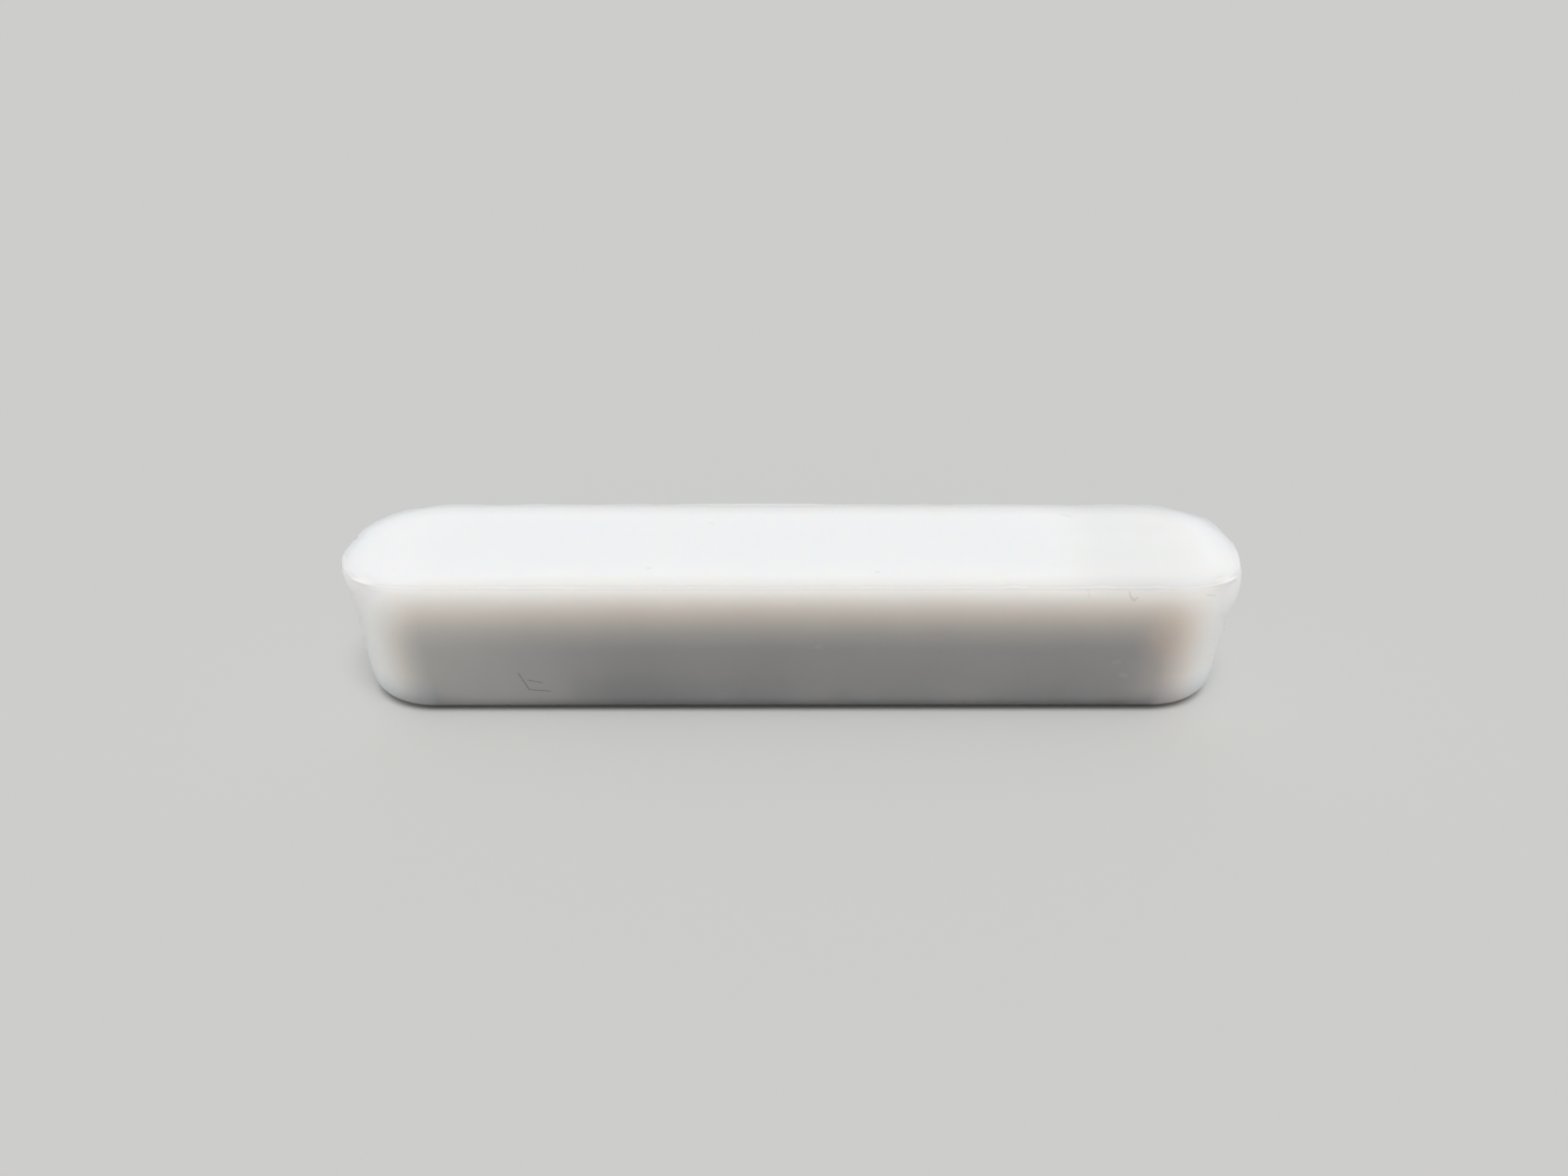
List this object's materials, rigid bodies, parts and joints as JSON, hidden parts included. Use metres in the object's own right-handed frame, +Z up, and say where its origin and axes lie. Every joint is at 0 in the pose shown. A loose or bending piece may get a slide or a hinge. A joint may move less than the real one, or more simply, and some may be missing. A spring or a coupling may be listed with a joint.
{
  "type": "magnetic stir bar",
  "caption": "Magnetic stir bar: a flat-faced white PTFE bar with round-cornered ends, moulded in one piece round a sealed bar magnet.",
  "frame": {"origin": "middle of the base, the face that the bar rests on", "axes": "+X along the bar, +Y across it, +Z up from the base to the flat face with the punch rim"},
  "size_m": [0.05, 0.0112, 0.0083],
  "materials": {
    "ptfe": "compression-moulded and sintered PTFE, smooth and waxy, slightly translucent",
    "magnet": "ground aluminium-nickel-cobalt magnet alloy"
  },
  "bodies": {
    "root": {"ptfe_jacket": "ptfe", "magnet_core": "magnet"}
  },
  "joints": []
}
